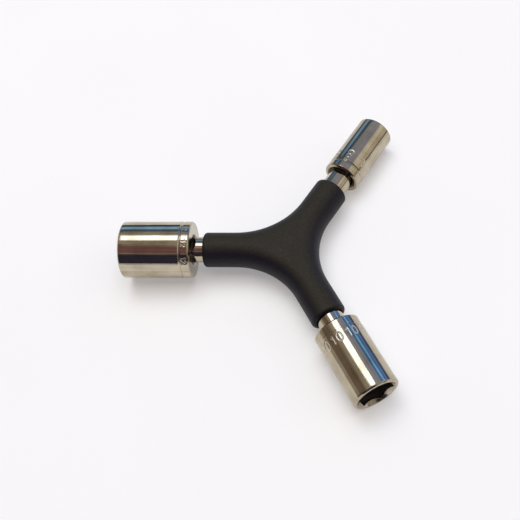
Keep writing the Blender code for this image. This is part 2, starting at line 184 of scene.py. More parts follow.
class ArmFrame:
    """Directions, middle line and stations of one arm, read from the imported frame."""

    def __init__(self, size):
        axes = {joint["name"]: np.array(joint["axis"], float) for joint in frame["joints"]}
        socket, shank, grip = (
            corners_of(frame["nodes"][name].data)
            for name in ("socket_" + size, "shank_" + size, "grip")
        )
        out = axes["socket_%s_draw" % size]
        up = axes["ball_%s_press" % size]
        self.size = size
        self.index = SIZES.index(size)
        self.out = out / np.linalg.norm(out)
        self.up = up - (up @ self.out) * self.out
        self.up /= np.linalg.norm(self.up)
        self.side = np.cross(self.out, self.up)
        over = socket @ self.up
        across = socket @ self.side
        middle = (over.max() + over.min()) / 2 * self.up
        self.line = middle + (across.max() + across.min()) / 2 * self.side
        self.radius = (over.max() - over.min()) / 2
        self.hexagon = (float(size) * MM + HEX_PLAY) / 2
        self.corner = self.hexagon / math.cos(math.pi / 6)
        self.widest = max(self.corner, SQUARE_HALF * math.sqrt(2))
        self.rear = (socket @ self.out).min()
        self.mouth = (socket @ self.out).max()
        self.tip = (shank @ self.out).max()
        self.grip_end = (grip @ self.out).max()

    def centre_on(self, hub):
        """Measure stations from the hub's centre from now on."""
        start = hub @ self.out
        self.hub = hub
        self.rear -= start
        self.mouth -= start
        self.tip -= start
        self.grip_end += GRIP_AHEAD[self.size] - start
        self.drive_end = self.rear - DRIVE_END_AHEAD[self.size]

    def place(self, over, across, along):
        """Points given by height over the middle line, sideways place and station."""
        return (
            self.hub
            + over[..., None] * self.up
            + across[..., None] * self.side
            + along[..., None] * self.out
        )


def arm_frames():
    """The three arms. The hub is the point nearest to their middle lines, by least squares."""
    arms = {size: ArmFrame(size) for size in SIZES}
    flats = [np.eye(3) - np.outer(arm.out, arm.out) for arm in arms.values()]
    pulls = [flat @ arm.line for flat, arm in zip(flats, arms.values())]
    hub = np.linalg.solve(np.sum(flats, 0), np.sum(pulls, 0))
    for arm in arms.values():
        arm.centre_on(hub)
    return arms


ARMS = arm_frames()
GRIP_UP = ARMS["12"].up


def grid_faces(rows, columns, ring_rows, ring_columns):
    """Four-cornered faces between neighbours of a grid of points, numbered row by row."""
    row, column = np.meshgrid(
        np.arange(rows if ring_rows else rows - 1),
        np.arange(columns if ring_columns else columns - 1),
        indexing="ij",
    )
    next_row = (row + 1) % rows
    next_column = (column + 1) % columns
    faces = (
        row * columns + column,
        row * columns + next_column,
        next_row * columns + next_column,
        next_row * columns + column,
    )
    return np.stack(faces, -1).reshape(-1, 4)


def build_piece(name, patches, material, sharp_angle):
    """One object from grids of points, whose shared edges and poles are merged.

    Each patch is (points, ring_rows, ring_columns), where a ring closes on itself.
    """
    points = []
    faces = []
    start = 0
    for grid, ring_rows, ring_columns in patches:
        rows, columns = grid.shape[:2]
        points.append(grid.reshape(-1, 3))
        faces.append(grid_faces(rows, columns, ring_rows, ring_columns) + start)
        start += rows * columns
    points = np.concatenate(points)
    faces = np.concatenate(faces)
    mesh = bpy.data.meshes.new(name)
    mesh.from_pydata(points, [], faces)
    shape = bmesh.new()
    shape.from_mesh(mesh)
    bmesh.ops.remove_doubles(shape, verts=shape.verts, dist=MERGE_DISTANCE)
    bmesh.ops.recalc_face_normals(shape, faces=shape.faces)
    open_edges = sum(1 for edge in shape.edges if len(edge.link_faces) != 2)
    shape.to_mesh(mesh)
    shape.free()
    if open_edges:
        raise RuntimeError("%s isn't closed: %d edges" % (name, open_edges))
    mesh.shade_smooth()
    mesh.set_sharp_from_angle(angle=math.radians(sharp_angle))
    mesh.materials.append(material)
    return shown(name, mesh)


def mark_arm_places(piece, arm):
    """Store and give each point's place in its arm's own frame, which patterns follow."""
    points = corners_of(piece.data) - arm.hub
    places = np.stack([points @ arm.up, points @ arm.side, points @ arm.out], -1)
    layer = piece.data.attributes.new("arm_place", "FLOAT_VECTOR", "POINT")
    layer.data.foreach_set("vector", places.ravel().astype(np.float32))
    return places


def mark_satin_and_painted_light(piece, arm, places, settings):
    """Store where the plating is dull, with a painted highlight in strokes and painted shade in holes.

    "stroke" is how frosted the stamped strokes are. "hole" rises from 0 at a socket's mouth
    to 1 a little way inside it.
    """
    radius = np.hypot(places[:, 0], places[:, 1])
    station = places[:, 2]
    inner = radius < arm.widest + HOLE_MARGIN
    deep = (station > arm.drive_end + END_MARGIN) & (station < arm.mouth - END_MARGIN)
    mark = settings.mark_station[arm.index]
    beside = (settings.mark_height[arm.index] + settings.stroke_width) / 2
    beside = np.abs(station - arm.drive_end - mark) < beside
    collar = COLLAR_STEP if mark < GROOVE_START else 0.0
    stroke = beside & (radius < arm.radius - collar - STROKE_MARGIN)
    hole = (inner & deep) * np.clip((arm.mouth - station) / DULL_AND_SHADED_FROM_MOUTH, 0.0, 1.0)
    # A stroke's share also paints it paler, a painted highlight, and the hole's paints it darker,
    # painted shade.
    for name, share in (("hole", hole), ("stroke", stroke * settings.mark_frost_and_highlight[arm.index])):
        layer = piece.data.attributes.new(name, "FLOAT", "POINT")
        layer.data.foreach_set("value", share.astype(np.float32))


def softened(profile, reach, steps):
    """Round a profile's inner corners.

    Each corner becomes a parabola between the points that lie the reach before and after it:
    (1 - t)^2 times the first, 2 t (1 - t) times the corner, and t^2 times the second. The
    reach is at most 0.45 of the shorter side.
    """
    profile = np.asarray(profile, float)
    before = profile[:-2] - profile[1:-1]
    after = profile[2:] - profile[1:-1]
    length_before = np.linalg.norm(before, axis=1, keepdims=True)
    length_after = np.linalg.norm(after, axis=1, keepdims=True)
    near = np.minimum(reach, 0.45 * np.minimum(length_before, length_after))
    first = profile[1:-1] + before / length_before * near
    last = profile[1:-1] + after / length_after * near
    t = np.linspace(0.0, 1.0, steps)[None, :, None]
    middle = profile[1:-1][:, None]
    curves = (1 - t) ** 2 * first[:, None] + 2 * t * (1 - t) * middle + t ** 2 * last[:, None]
    return np.concatenate([profile[:1], curves.reshape(-1, 2), profile[-1:]])


def with_stations(profile, stations):
    """Add points to a profile of (radius, station) rows, on its own straight lines."""
    places = np.unique(np.round(np.concatenate([profile[:, 1], stations]), 9))
    places = places[(places >= profile[:, 1].min()) & (places <= profile[:, 1].max())]
    return np.stack([np.interp(places, profile[:, 1], profile[:, 0]), places], -1)


def wrapped(angle, step):
    """Angle from the nearest multiple of a step, from minus to plus half a step."""
    return (angle + step / 2) % step - step / 2


def polygon(half, sides, angle):
    """Radius of an even-sided polygon: half its width over the cosine from the nearest flat."""
    return half / np.cos(wrapped(angle, 2 * np.pi / sides))


def full_turn(count):
    """Even angles round an arm, as a row."""
    return np.linspace(0.0, 2 * np.pi, count, endpoint=False)[None]


def runs_of(*runs):
    """Even runs of stations, each from a first to a last one, as a column."""
    return np.concatenate([np.linspace(*run) for run in runs])[:, None]


def hole_radius(arm, station, angle):
    """Radius of a socket's hole, the largest of its cuts at each station and angle.

    The cuts are the lead-in cone, the hexagon, the turned relief with its two tapers, the
    square, the detent groove and the rear chamfer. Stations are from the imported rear.
    """
    length = arm.mouth - arm.rear
    ahead = arm.rear - arm.drive_end
    middle = (SQUARE_DEPTH + RELIEF_END) / 2
    lead = arm.corner + (arm.radius - arm.widest) * LEAD_SHARE
    detent = SQUARE_HALF + DETENT_DEPTH
    above = arm.widest + RELIEF_STEP - np.maximum(station - RELIEF_END, 0.0)
    cuts = (
        np.where(station >= middle, polygon(arm.hexagon, 6, angle), 0.0),
        np.where(station <= middle, polygon(SQUARE_HALF, 4, angle), 0.0),
        np.interp(
            np.abs(station - DETENT_FROM_REAR),
            [0.0, DETENT_HALF / 2, DETENT_HALF, DETENT_HALF + MM],
            [detent, detent, SQUARE_HALF - 0.15 * MM, 0.0],
        ),
        above - 2 * np.maximum(SQUARE_DEPTH - station, 0.0),
        lead - (length - station),
        SQUARE_HALF * math.sqrt(2) + HOLE_CHAMFER - (station + ahead),
    )
    return np.max(np.stack(np.broadcast_arrays(*cuts)), 0)


def stroke_distance(size, height, across, up):
    """Distance of each point from the nearest stroke of a number of the given height.

    The strokes are straight pieces. A point's nearest place on one is its projection,
    held between the two ends. The number is centred on zero both ways.
    """
    width = NUMERAL_STEP * (len(size) - 1) + NUMERAL_WIDTH
    lines = [
        (line + np.array([place * NUMERAL_STEP - width / 2, -0.5])) * height
        for place, numeral in enumerate(size)
        for line in NUMERAL_STROKES[numeral]
    ]
    starts = np.concatenate([line[:-1] for line in lines])
    runs = np.concatenate([np.diff(line, axis=0) for line in lines])
    points = np.stack([across, up], -1)[..., None, :]
    share = np.sum((points - starts) * runs, -1) / np.sum(runs * runs, -1)
    nearest = starts + np.clip(share, 0.0, 1.0)[..., None] * runs
    return np.linalg.norm(points - nearest, axis=-1).min(-1)


def stamp_depth(arm, settings, station, angle):
    """Depth of the stamped size: a round-bottomed stroke, one less the square of its share."""
    height = settings.mark_height[arm.index]
    pitch = 2 * np.pi / settings.mark_count[arm.index]
    turn = wrapped(angle - settings.mark_heading[arm.index], pitch)
    up = settings.mark_station[arm.index] - station
    depth = np.zeros(np.broadcast(station, angle).shape)
    near = np.abs(up[:, 0]) < height / 2 + settings.stroke_width
    across, rise = np.broadcast_arrays(-turn * arm.radius, up[near])
    share = stroke_distance(arm.size, height, across, rise) / (settings.stroke_width / 2)
    depth[near] = settings.stamp_depth * np.maximum(1 - share ** 2, 0.0)
    return depth


def socket_surface(arm, settings):
    """A socket as one ring of rows: out along its outside and back through its hole.

    Outside, the radius is a turned profile less the depth of the stamped size. Inside, it
    is the hole's radius. Both are functions of the station and the angle round the arm.
    """
    radius = arm.radius - settings.skin
    collar = radius - COLLAR_STEP
    length = arm.mouth - arm.drive_end
    groove_end = GROOVE_START + GROOVE_WIDTH
    depth = GROOVE_DEPTH[arm.size]

    # Turned profile of radius and station, from the rear face round to the mouth's face.
    profile = [
        (collar - REAR_CHAMFER - 0.3 * MM, 0.0),
        (collar - REAR_CHAMFER, 0.0),
        (collar, REAR_CHAMFER),
        (collar, GROOVE_START),
        (radius - depth, GROOVE_START + depth),
        (radius - depth, groove_end - depth),
        (radius, groove_end),
        (radius, length - MOUTH_CHAMFER),
        (radius - MOUTH_CHAMFER, length),
        (radius - MOUTH_CHAMFER - 0.2 * MM, length),
    ]
    soft = softened(profile, settings.edge_round, 5)
    rear = soft[:, 1] <= 1e-9
    mouth = soft[:, 1] >= length - 1e-9

    # Rows lie close together where the size is stamped, and stand on both sides of each edge.
    mark = settings.mark_station[arm.index]
    reach = settings.mark_height[arm.index] / 2 + settings.stroke_width
    marks = np.arange(mark - reach, mark + reach, 0.08 * MM)
    plain = np.arange(REAR_CHAMFER + 0.15 * MM, length - MOUTH_CHAMFER, 1.8 * MM)
    beside = [REAR_CHAMFER, GROOVE_START, groove_end, length - MOUTH_CHAMFER]
    beside = np.array(beside) + np.array([0.1, -0.1, 0.1, -0.1]) * MM
    walls = with_stations(soft[~rear & ~mouth], np.concatenate([marks, plain, beside]))
    outside = np.concatenate([soft[rear], walls, soft[mouth]])
    angle = full_turn(settings.columns)
    station = outside[:, 1:]
    outer = outside[:, :1] - stamp_depth(arm, settings, station, angle)

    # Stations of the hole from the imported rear, close together where its radius changes.
    ahead = arm.rear - arm.drive_end
    deep = length - ahead
    back = runs_of(
        (deep, deep - 1.5 * MM, 16),
        (deep - 2.2 * MM, RELIEF_END + 1.2 * MM, 4),
        (RELIEF_END + 1.0 * MM, SQUARE_DEPTH - 1.2 * MM, 18),
        (SQUARE_DEPTH - 1.5 * MM, DETENT_FROM_REAR + 1.7 * MM, 2),
        (DETENT_FROM_REAR + 1.5 * MM, DETENT_FROM_REAR - 1.5 * MM, 15),
        (1.8 * MM, -ahead, 12),
    )
    radii = np.concatenate([outer, hole_radius(arm, back, angle)])
    stations = np.concatenate([station + arm.drive_end, back + arm.rear])
    return arm.place(radii * np.cos(angle), radii * np.sin(angle), stations)


def smooth_least(first, second, blend):
    """Lesser of two values, with the corner between them rounded by a parabola."""
    gap = np.maximum(blend - np.abs(first - second), 0.0) / blend
    return np.minimum(first, second) - gap ** 2 * blend / 4


def shank_surface(arm, settings):
    """A shank as rows of rings from its mitre to its tip.

    The radius is the least of the rod's, the four milled flats' and the tip chamfer's. The
    mitre is two planes: the station there is (gap + y cos 60) / sin 60. Round the detent, the
    points are drawn into the ball's hole by its own profile of radius and height.
    """
    rod = settings.rod_radius
    shoulder = arm.drive_end - SEAT_GAP
    angle = full_turn(settings.columns)
    detent = arm.rear + DETENT_FROM_REAR
    reach = DETENT_REACH
    stations = runs_of(
        (4.0 * MM, shoulder - 1.6 * MM, 24),
        (shoulder - 1.4 * MM, shoulder + 0.3 * MM, 28),
        (shoulder + 0.6 * MM, detent - reach - 0.1 * MM, 4),
        (detent - reach, detent + reach, 64),
        (detent + reach + 0.2 * MM, arm.tip - 0.8 * MM, 4),
        (arm.tip - 0.7 * MM, arm.tip, 12),
    )
    half = TANG_HALF + np.maximum(shoulder - stations, 0.0)
    flats = polygon(half, 4, angle)
    chamfer = rod - TANG_CHAMFER + (arm.tip - stations)
    blend = settings.machined_round
    radius = smooth_least(rod - settings.skin, flats, blend)
    radius = smooth_least(radius, chamfer, blend)
    over = radius * np.cos(angle)
    across = radius * np.sin(angle)
    along = np.broadcast_to(stations, radius.shape).copy()

    # Hole for the ball: share of the way out from its middle, against radius and height.
    offset = along - detent
    spread = np.hypot(offset, across)
    inside = (spread < reach) & (over > 0)
    share = spread[inside] / reach
    knots = [0.0, 0.30, 0.36, 0.66, 0.72, 0.78, 1.0]
    rings = [0.0, BALL_SEAT, BALL_SEAT, BALL_SEAT, BALL_LIP, BALL_LIP, reach]
    lip = TANG_HALF - LIP_DEPTH
    under = lip - (BALL_SEAT - BALL_LIP)
    heights = [BALL_FLOOR, BALL_FLOOR, BALL_FLOOR + 0.2 * MM, under, lip, TANG_HALF, TANG_HALF]
    scale = np.interp(share, knots, rings) / np.maximum(spread[inside], 1e-9)
    along[inside] = detent + offset[inside] * scale
    across[inside] *= scale
    over[inside] = np.interp(share, knots, heights)

    # Mitre: rings that grow on the two planes, from the middle to the rod's radius.
    cut = np.array([0.0, 0.5, 0.95, 1.0])[:, None] * (rod - settings.skin)
    start_over = cut * np.cos(angle)
    start_across = cut * np.sin(angle)
    lean = np.abs(start_across) * math.cos(HALF_MITRE)
    start_along = (MITRE_GAP + lean) / math.sin(HALF_MITRE)

    # Tip: rings that shrink to the middle.
    shrink = np.array([0.9, 0.4, 0.0])[:, None]
    rows = [
        arm.place(start_over, start_across, start_along),
        arm.place(over, across, along),
        arm.place(over[-1:] * shrink, across[-1:] * shrink, along[-1:] + 0 * shrink),
    ]
    return np.concatenate(rows)


def ball_surface(arm, settings):
    """A ball: radius times the sines and cosines of latitude and longitude."""
    radius = settings.ball_radius
    latitude = np.linspace(-np.pi / 2, np.pi / 2, 41)[:, None]
    longitude = full_turn(64)
    over = settings.ball_height + radius * np.sin(latitude)
    across = radius * np.cos(latitude) * np.cos(longitude)
    along = arm.rear + DETENT_FROM_REAR + radius * np.cos(latitude) * np.sin(longitude)
    return arm.place(over, across, along)


def spring_surface(arm, settings):
    """A coil spring: a round wire carried along a helix, with both ends closed to a point.

    The wire's middle is at the coil's radius, and climbs evenly with the angle.
    """
    wire = SPRING_WIRE / 2
    coil = settings.ball_radius - wire
    low = BALL_FLOOR + SPRING_PLAY + wire
    high = settings.ball_height - settings.ball_radius - SPRING_PLAY - wire
    t = np.linspace(0.0, 1.0, 40 * settings.spring_turns + 1)[:, None]
    turn = 2 * np.pi * settings.spring_turns * t
    height = low + (high - low) * t
    angle = full_turn(12)
    taper = np.sqrt(np.clip(1 - np.abs(2 * t - 1) ** 200, 0.0, 1.0))
    spread = coil + wire * taper * np.cos(angle)
    over = height + wire * taper * np.sin(angle)
    along = arm.rear + DETENT_FROM_REAR + spread * np.sin(turn)
    return arm.place(over, spread * np.cos(turn), along)


def half_wall(settings, arm, middle, along):
    """One arm's half of a side wall of the grip, from the mitre in its bore to the arc.

    A half circle is carried along rows of radius and station: radius times sine towards the
    crotch and times cosine up. On the first row, the mitre's, the station is the sideways
    place over tan 60.
    """
    radius = settings.arm_radius
    bore = settings.bore_radius
    end = arm.grip_end
    edge = settings.end_round
    quarter = np.linspace(0.0, np.pi / 2, 9)
    # The bore's mouth is rounded, and a flat ring beside it meets the round of the arm's end.
    lip = [(bore, end - 0.4 * MM), (bore, end), (bore + 0.19 * MM, end)]
    lip = softened(lip, 0.08 * MM, 4)[1:-1]
    inside = np.linspace(3.0 * MM, end - 0.4 * MM, 14)
    straight = np.linspace(end - edge, along, 22)[1:]
    radii = [np.full(15, bore), lip[:, 0], radius - edge * (1 - np.sin(quarter)), np.full(21, radius)]
    stations = [[0.0], inside, lip[:, 1], end - edge * (1 - np.cos(quarter)), straight]
    angle = np.linspace(0.0, np.pi, settings.wall_columns)[None]
    side = np.concatenate(radii)[:, None] * np.sin(angle)
    over = np.concatenate(radii)[:, None] * np.cos(angle)
    place = np.concatenate(stations)[:, None] * np.ones_like(angle)
    place[0] = side[0] / math.tan(HALF_MITRE)
    inward = middle - (middle @ arm.out) * arm.out
    inward /= np.linalg.norm(inward)
    return arm.hub + place[..., None] * arm.out + side[..., None] * inward + over[..., None] * GRIP_UP


def grip_patches(settings):
    """The grip as three side walls and two lids, whose edges are shared.

    Each side wall follows a middle line: out of one bore, straight in along that arm, round
    an arc about the crotch's centre, out along the next arm and back into its bore, and a
    half circle is carried along it as in half_wall. The lids fill the space between the three
    arcs. They swell by a smooth step of the product of a point's distances from the arcs,
    each as a share of the hub's own.
    """
    arms = [ARMS[size] for size in ("12", "8", "10")]
    hub = arms[0].hub
    radius = settings.arm_radius
    across = settings.crotch_radius + radius
    along = across / math.tan(HALF_MITRE)
    away = across / math.sin(HALF_MITRE)
    lean = math.pi / 2 - HALF_MITRE
    turn = np.linspace(-lean, lean, settings.arc_rows)[:, None]
    angle = np.linspace(0.0, np.pi, settings.wall_columns)[None, :, None]
    pairs = list(zip(arms, arms[1:] + arms[:1]))
    middles = [first.out + second.out for first, second in pairs]
    middles = [middle / np.linalg.norm(middle) for middle in middles]
    crotches = [hub + away * middle for middle in middles]
    patches = []
    for (first, second), middle, centre in zip(pairs, middles, crotches):
        spoke = -middle * np.cos(turn) + np.cross(middle, GRIP_UP) * np.sin(turn)
        line = centre + across * spoke
        arc = line[:, None] - radius * np.sin(angle) * spoke[:, None] + radius * np.cos(angle) * GRIP_UP
        wall_in = half_wall(settings, first, middle, along)
        wall_out = half_wall(settings, second, middle, along)
        patches.append((np.concatenate([wall_in, arc[1:-1], wall_out[::-1]]), False, False))

        # Lids over the arc's share of the hub.
        t = np.linspace(0.0, 1.0, settings.lid_rows)[:, None, None]
        flat = line[None] * (1 - t) + hub * t
        depth = np.ones(flat.shape[:2])
        for crotch in crotches:
            gap = np.linalg.norm(flat - crotch, axis=-1) - across
            depth *= np.clip(gap / (away - across), 0.0, None)
        swell = (settings.crown * (3 * depth ** 2 - 2 * depth ** 3))[..., None]
        patches.append((flat + (radius + swell) * GRIP_UP, False, False))
        patches.append((flat - (radius + swell) * GRIP_UP, False, False))
    return patches


def linear(colour):
    """Linear red, green and blue of an sRGB hex colour."""
    values = np.array([int(colour[i:i + 2], 16) for i in (1, 3, 5)]) / 255
    values = np.where(values <= 0.04045, values / 12.92, ((values + 0.055) / 1.055) ** 2.4)
    return tuple(values.tolist())


def feed(node, inputs):
    """Set a node's inputs to values or link them to outputs. A space in a name is written _."""
    for name, value in inputs.items():
        socket = next(
            socket for socket in node.inputs
            if socket.enabled and name in (socket.identifier, socket.name.replace(" ", "_"))
        )
        if isinstance(value, bpy.types.NodeSocket):
            node.id_data.links.new(value, socket)
        else:
            socket.default_value = (*value, 1.0) if socket.type == "RGBA" else value


def add(tree, kind, output=0, stops=(), **words):
    """Add one node and give its first output, or the one that is named.

    Words that start with a capital are inputs, as in feed, and the others are settings. The
    stops are a colour ramp's places and colours.
    """
    node = tree.nodes.new("ShaderNode" + kind)
    for name, value in words.items():
        if name[0].islower():
            setattr(node, name, value)
    if stops:
        elements = node.color_ramp.elements
        while len(elements) < len(stops):
            elements.new(1.0)
        for element, (position, colour) in zip(elements, stops):
            element.position = position
            element.color = (*colour, 1.0)
    feed(node, {name: value for name, value in words.items() if name[0].isupper()})
    return node.outputs[output]


def chrome_plate(tree, finishes):
    """Bright chromium plate on turned and buffed steel.

    Buffing runs along the socket, so the mirror wavers a little round it and hardly along it,
    and bands of reflected light get faint lengthwise streaks. Handling leaves a soft haze.
    """
    place = add(tree, "Attribute", "Vector", attribute_name="arm_place")
    # Buffing waves: 0.6 mm wide round the arm and 40 mm long.
    stretch = (1 / (0.6 * MM), 1 / (0.6 * MM), 1 / (40 * MM))
    stretched = add(tree, "Mapping", Vector=place, Scale=stretch)
    waves = add(tree, "TexNoise", Vector=stretched, Scale=1.0, Detail=3.0, Roughness=0.65)
    # Turning rings under the plate are 0.05 mm apart, too fine to show, so they're 0.35 mm.
    rings = add(tree, "Mapping", Vector=place, Scale=(0.0, 0.0, 1 / (0.35 * MM)))
    turning = add(tree, "TexNoise", Vector=rings, Scale=1.0, Detail=2.0)
    # Plating has an even orange peel about 1.6 mm across, a fraction of a micron deep.
    peel = add(tree, "TexNoise", Vector=place, Scale=1 / (1.6 * MM), Detail=1.0)
    normal = add(tree, "Bump", Height=waves, Distance=finishes.buffing_depth)
    normal = add(tree, "Bump", Height=turning, Distance=TURNING_DEPTH, Normal=normal)
    normal = add(tree, "Bump", Height=peel, Distance=PEEL_DEPTH, Normal=normal)

    # Haze from handling, in patches of about 3 mm.
    haze = add(tree, "TexNoise", Vector=place, Scale=1 / (3 * MM), Detail=4.0, Roughness=0.6)
    least = finishes.chrome_roughness
    roughness = add(tree, "MapRange", Value=haze, From_Min=0.35, From_Max=0.7,
                    To_Min=least, To_Max=least + 0.05)
    # The buffing wheel doesn't reach into a broached hole or a stamped stroke: both stay satin.
    hole = add(tree, "Attribute", "Fac", attribute_name="hole")
    stroke = add(tree, "Attribute", "Fac", attribute_name="stroke")
    satin = add(tree, "Math", Value=hole, Value_001=stroke, operation="MAXIMUM")
    roughness = add(tree, "Math", Value=satin, Value_001=finishes.satin_roughness,
                    Value_002=roughness, operation="MULTIPLY_ADD")
    # The plate is a shade warmer where it is thin, in patches of about 5 mm and along the waves.
    tone = add(tree, "TexNoise", Vector=place, Scale=1 / (5 * MM), Detail=2.0)
    tone = add(tree, "Math", Value=waves, Value_001=1.2, Value_002=tone, operation="MULTIPLY_ADD")
    tone = add(tree, "MapRange", Value=tone, From_Min=0.8, From_Max=1.4)
    base = np.array(finishes.chrome_colour)
    colour = add(tree, "ValToRGB", Fac=tone, stops=(
        (0.0, base * (0.82, 0.8, 0.74)), (0.5, base * 1.1), (1.0, base * (1.3, 1.32, 1.36)),
    ))
    # The strokes are painted paler than the plate: a painted highlight. Chromium hardly plates a
    # deep hole, and the hole is painted a darker grey inwards from its mouth: painted shade.
    for part, paint in ((stroke, finishes.stroke_highlight_colour), (hole, finishes.nickel_and_shade_colour)):
        colour = add(tree, "Mix", "Result", Factor=part, A=colour, B=paint, data_type="RGBA")
    return {"Metallic": 1.0, "Base_Color": colour, "Roughness": roughness, "Normal": normal}


def moulded_polymer(tree, finishes):
    """Black polypropylene with rubber, injection moulded in a finely eroded tool.

    The tool's grain breaks the gloss into a soft sheen. What faces up is painted a warmer,
    lighter black than the flanks: painted light from above.
    """
    place = add(tree, "TexCoord", "Object")
    # The eroded grain is 0.1 mm, too fine to show, so it is drawn 0.35 mm across.
    grain = add(tree, "TexNoise", Vector=place, Scale=1 / (0.35 * MM), Detail=2.0, Roughness=0.6)
    # Flow of the melt leaves broad, shallow waves about 7 mm across.
    flow = add(tree, "TexNoise", Vector=place, Scale=1 / (7 * MM), Detail=2.0)
    normal = add(tree, "Bump", Height=grain, Distance=finishes.grain_depth)
    normal = add(tree, "Bump", Height=flow, Distance=FLOW_DEPTH, Normal=normal)
    middle = finishes.grip_roughness
    roughness = add(tree, "MapRange", Value=flow, From_Min=0.35, From_Max=0.65,
                    To_Min=middle - 0.03, To_Max=middle + 0.05)
    # Painted light: what faces up is painted a warmer, lighter black than the flanks, for light falling
    # from above.
    facing = add(tree, "SeparateXYZ", "Z", Vector=add(tree, "NewGeometry", "Normal"))
    lit_top_share = add(tree, "MapRange", Value=facing, From_Min=0.7, From_Max=1.0,
               interpolation_type="SMOOTHSTEP")
    bare, lit_top_colour = (
        add(tree, "ValToRGB", Fac=grain, stops=((0.3, base * 0.6), (0.7, base * 1.4)))
        for base in (np.array(finishes.grip_colour), np.array(finishes.grip_lit_top_colour))
    )
    colour = add(tree, "Mix", "Result", Factor=lit_top_share, A=bare, B=lit_top_colour, data_type="RGBA")
    return {"Base_Color": colour, "Roughness": roughness, "Normal": normal, "IOR": 1.49,
            "Specular_IOR_Level": 0.2}


def bearing_steel(tree, finishes):
    """Hardened chromium steel, ground and lapped: a neutral mirror with rare fine scratches."""
    place = add(tree, "TexCoord", "Object")
    # Scratches dull the ball in specks of 0.25 mm.
    marks = add(tree, "TexNoise", Vector=place, Scale=1 / (0.25 * MM), Detail=3.0)
    roughness = add(tree, "MapRange", Value=marks, From_Min=0.4, From_Max=0.75,
                    To_Min=0.06, To_Max=0.14)
    return {"Metallic": 1.0, "Base_Color": finishes.steel_colour, "Roughness": roughness}


def drawn_wire(tree, finishes):
    """Spring steel wire, drawn through dies: grey, with faint draw lines and a thin coat of oil."""
    place = add(tree, "TexCoord", "Object")
    # Draw lines are 0.02 mm apart, too fine to show, so they're 0.12 mm.
    lines = add(tree, "TexNoise", Vector=place, Scale=1 / (0.12 * MM), Detail=2.0)
    base = np.array(finishes.steel_colour)
    colour = add(tree, "ValToRGB", Fac=lines, stops=((0.3, base * 0.6), (0.7, base * 0.85)))
    return {"Metallic": 1.0, "Base_Color": colour, "Roughness": 0.32}


def weld_metal(tree, finishes):
    """Arc-weld metal as laid: rippled across the run, grey-brown from the heat."""
    place = add(tree, "TexCoord", "Object")
    # Ripples of the pool follow each other every 0.7 mm.
    ripple = add(tree, "TexWave", "Fac", Vector=place, Scale=2 * math.pi / (20 * 0.7 * MM),
                 Distortion=3.0, Detail=2.0, bands_direction="Z")
    normal = add(tree, "Bump", Height=ripple, Distance=RIPPLE_DEPTH)
    # Heat tints it in patches of 2 mm.
    heat = add(tree, "TexNoise", Vector=place, Scale=1 / (2 * MM), Detail=3.0)
    base = np.array(finishes.steel_colour)
    colour = add(tree, "ValToRGB", Fac=heat, stops=(
        (0.35, base * (0.45, 0.36, 0.27)), (0.65, base * 0.8),
    ))
    return {"Metallic": 1.0, "Base_Color": colour, "Roughness": 0.45, "Normal": normal}


FINISHES = {
    "chrome_plate_on_buffed_steel": chrome_plate,
    "moulded_black_polymer": moulded_polymer,
    "lapped_bearing_steel": bearing_steel,
    "drawn_spring_wire": drawn_wire,
    "arc_weld_metal": weld_metal,
}


def finish_named(name, context):
    """A finish by its name, made on first use and shared by all pieces that have it."""
    material = bpy.data.materials.get(name)
    if not material:
        material = bpy.data.materials.new(name)
        material.use_nodes = True
        inputs = FINISHES[name](material.node_tree, context.scene.wrench_finishes)
        feed(material.node_tree.nodes["Principled BSDF"], inputs)
    return material


def length_of(name, description, millimetres):
    """A length, given in millimetres and kept in metres."""
    return FloatProperty(
        name=name, description=description, default=millimetres * MM, unit="LENGTH", precision=6,
    )


def share_of(name, description, default):
    """A number from 0 to 1."""
    return FloatProperty(
        name=name, description=description, default=default, min=0.0, max=1.0, subtype="FACTOR",
    )


def count_of(name, description, default, least):
    """A whole number with a least value."""
    return IntProperty(name=name, description=description, default=default, min=least)


def several_of(name, description, default, **words):
    """Two or three numbers that belong together."""
    return FloatVectorProperty(name=name, description=description, default=default, **words)


def colour_of(name, description, paint):
    """A colour, given as an sRGB hex value."""
    return several_of(name, description, linear(paint), subtype="COLOR", min=0.0, max=1.0)


class SocketSettings(bpy.types.PropertyGroup):
    """Sizes of what shows on the three sockets. Threes are for 8, 10 and 12 mm in turn."""

    columns: count_of("Columns", "Faces round each socket, a multiple of 24", 528, 24)
    edge_round: length_of("Edge round", "How far each turned edge is eased", 0.12)
    skin: length_of("Skin", "How far the surface lies inside the packed solid's corners", 0.01)
    stroke_width: length_of("Stroke width", "Width of the stamped numerals' strokes", 0.48)
    stamp_depth: length_of("Stamp depth", "Depth of the stamped numerals", 0.08)
    mark_height: several_of(
        "Mark height", "Height of each socket's stamped size",
        (3.0 * MM, 2.6 * MM, 1.45 * MM), unit="LENGTH", precision=5,
    )
    mark_station: several_of(
        "Mark station", "Distance of the stamped size from the socket's rear",
        (5.9 * MM, 5.4 * MM, 1.55 * MM), unit="LENGTH", precision=5,
    )
    mark_heading: several_of(
        "Mark heading", "Angle of the first stamped size round its arm",
        (0.0, math.radians(-8.0), math.radians(-18.0)), unit="ROTATION",
    )
    mark_count: IntVectorProperty(
        name="Mark count", description="How often the size is stamped round each socket",
        default=(8, 9, 10), min=1,
    )
    # This also sets how far the strokes are painted paler, as a painted highlight.
    mark_frost_and_highlight: several_of(
        "Mark frost", "How frosted each socket's stamped size is", (0.35, 0.9, 0.35), min=0.0, max=1.0,
    )


class ShankSettings(bpy.types.PropertyGroup):
    """Sizes of the three shanks, their balls and their springs."""

    columns: count_of("Columns", "Faces round each shank, a multiple of 8", 320, 8)
    rod_radius: length_of("Rod radius", "Radius of the round rod", 4.0)
    machined_round: length_of("Machined round", "How far the tang's edges are eased", 0.12)
    skin: length_of("Skin", "How far the surface lies inside the packed solid's corners", 0.01)
    ball_radius: length_of("Ball radius", "Radius of the detent ball", 1.2)
    ball_height: length_of("Ball height", "Height of the ball's centre over the arm's middle line", 1.92)
    spring_turns: count_of("Spring turns", "Turns of each detent spring", 6, 2)


